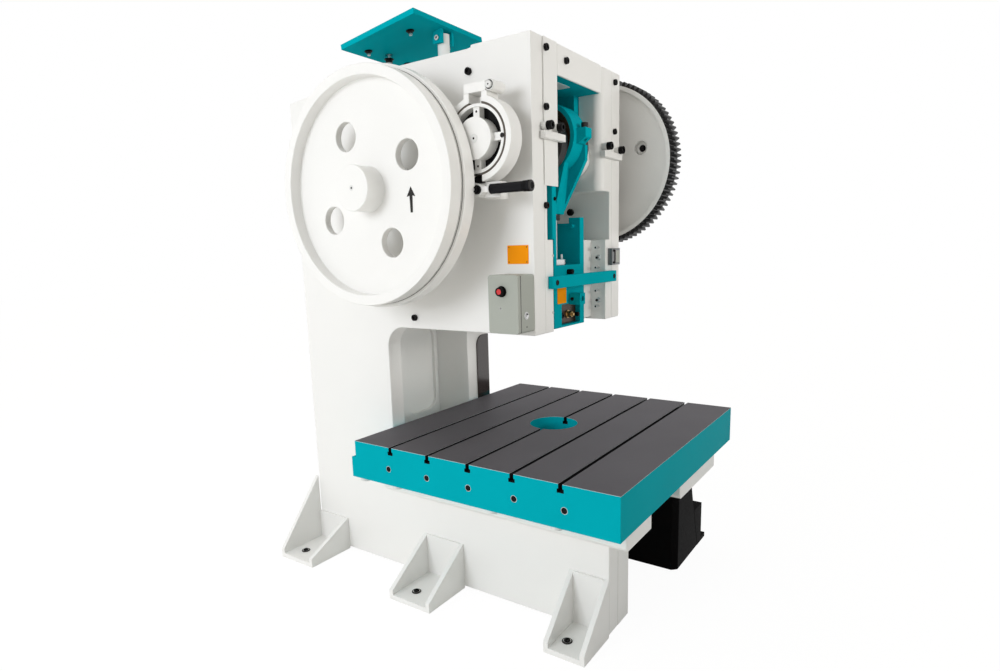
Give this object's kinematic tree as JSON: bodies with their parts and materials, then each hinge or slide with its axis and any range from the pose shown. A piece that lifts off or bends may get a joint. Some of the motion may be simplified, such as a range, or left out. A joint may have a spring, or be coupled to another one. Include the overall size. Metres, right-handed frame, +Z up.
{
  "type": "mechanical stamping press",
  "caption": "Open-front mechanical press with crank, connecting rod and guided ram over a slotted bolster, geared flywheel drive, band brake and a tilting motor plate.",
  "frame": {"origin": "on the floor, straight below the ram's centre line and the crank axis", "axes": "+X to the machine's right (the gear side), +Y to its back, +Z up"},
  "size_m": [1.542, 2.037, 2.712],
  "materials": {
    "white_paint": "gloss",
    "teal_paint": "gloss",
    "black_paint": "satin",
    "bolster_paint": "gloss paint with a dark ground top",
    "dark_bronze": "oiled",
    "bright_steel": "machined",
    "dark_steel": "oiled",
    "bearing_brass": "machined",
    "gear_iron": "painted web, bare teeth",
    "wheel_paint": "gloss",
    "friction_lining": "matt",
    "grip_rubber": "matt",
    "box_paint": "satin",
    "red_plastic": "gloss",
    "black_plastic": "satin",
    "dark_cover": "gloss",
    "smoke_plastic": "gloss",
    "white_plastic": "satin"
  },
  "bodies": {
    "frame": {"left_side_plate": "white_paint", "right_side_plate": "white_paint", "rear_wall": "white_paint", "top_plate": "white_paint", "throat_rib": "white_paint", "throat_cover": "dark_cover", "left_column": "white_paint", "right_column": "white_paint", "left_front_cover": "white_paint", "head_front_plate": "white_paint", "left_bracket": "teal_paint", "crank_case": "teal_paint", "left_leg": "white_paint", "right_leg": "black_paint", "right_front_foot": "black_paint", "left_feet": "white_paint", "right_feet": "white_paint", "bed_rails": "white_paint", "bolster": "bolster_paint", "bolster_lugs": "white_plastic", "tie_bar": "teal_paint", "sight_box": "smoke_plastic", "stop_brackets": "white_paint", "gibs": "white_paint", "crank_bushes": "bearing_brass", "shaft_bearings": "dark_steel", "brake_bracket": "white_paint", "brake_shoes": "white_paint", "brake_linings": "friction_lining", "brake_tie": "white_paint", "lever_pin": "bright_steel", "box_body": "box_paint", "motor_post": "white_paint", "hinge_pin": "bright_steel", "adjusting_rod": "bright_steel"},
    "flywheel": {"flywheel": "wheel_paint", "drive_shaft": "bright_steel", "pinion": "dark_steel"},
    "gear": {"gear": "gear_iron"},
    "crank": {"crankshaft": "dark_steel", "brake_drum": "white_paint", "gear_end_cap": "black_paint"},
    "rod": {"con_rod": "teal_paint", "rod_cap": "teal_paint", "rod_bolts": "dark_steel", "rod_shells": "dark_bronze"},
    "ram": {"ram": "teal_paint", "ball_seat": "bright_steel", "ball_cap": "bright_steel", "shank_clamp": "dark_bronze", "clamp_arm": "teal_paint"},
    "screw": {"ball_screw": "bright_steel", "screw_collar": "dark_steel"},
    "button": {"stop_button": "red_plastic"},
    "box_door": {"box_lid": "box_paint", "button_bezel": "black_plastic"},
    "latch": {"box_latch": "bright_steel"},
    "brake_lever": {"brake_handle": "white_paint", "brake_grip": "grip_rubber"},
    "motor_plate": {"motor_plate": "teal_paint"}
  },
  "joints": [
    {"name": "flywheel_spin", "type": "hinge", "parent": "frame", "child": "flywheel", "pos_m": [-0.68, 0.50501, 1.92391], "axis": [1, 0, 0], "continuous": true},
    {"name": "gear_spin", "type": "hinge", "parent": "frame", "child": "gear", "pos_m": [0.55, 0, 2.088], "axis": [1, 0, 0], "continuous": true},
    {"name": "crank_turn", "type": "hinge", "parent": "frame", "child": "crank", "pos_m": [0, 0, 2.088], "axis": [1, 0, 0], "range_deg": [0, 90]},
    {"name": "ram_slide", "type": "slide", "parent": "frame", "child": "ram", "axis": [0, 0, 1], "range_m": [-0.13, 0]},
    {"name": "rod_swing", "type": "hinge", "parent": "crank", "child": "rod", "pos_m": [0, 0, 2.153], "axis": [1, 0, 0], "range_deg": [-84, 0]},
    {"name": "screw_swing", "type": "hinge", "parent": "ram", "child": "screw", "pos_m": [0, 0, 1.56], "axis": [1, 0, 0], "range_deg": [0, 7]},
    {"name": "stop_button_press", "type": "slide", "parent": "box_door", "child": "button", "axis": [1, 0, 0], "range_m": [0, 0.0035], "stiffness_N_per_m": 400},
    {"name": "box_lid_swing", "type": "hinge", "parent": "frame", "child": "box_door", "pos_m": [-0.53, -0.01, 1.43], "axis": [0, 0, -1], "range_deg": [0, 100]},
    {"name": "box_latch_turn", "type": "hinge", "parent": "frame", "child": "latch", "pos_m": [-0.489, -0.157, 1.381], "axis": [0, 1, 0], "range_deg": [0, 90]},
    {"name": "brake_handle_pull", "type": "hinge", "parent": "frame", "child": "brake_lever", "pos_m": [-0.582, -0.008, 1.891], "axis": [1, 0, 0], "range_deg": [0, 20]},
    {"name": "motor_plate_tilt", "type": "hinge", "parent": "frame", "child": "motor_plate", "pos_m": [-0.165, 0.485, 2.645], "axis": [1, 0, 0], "range_deg": [0, 3]}
  ],
  "couplings": [
    {"joint": "gear_spin", "follows": "flywheel_spin", "ratio": -0.28261},
    {"joint": "ram_slide", "follows": "crank_turn", "m_per_rad": -0.08276},
    {"joint": "rod_swing", "follows": "crank_turn", "ratio": -0.9277},
    {"joint": "screw_swing", "follows": "crank_turn", "ratio": 0.0723}
  ]
}
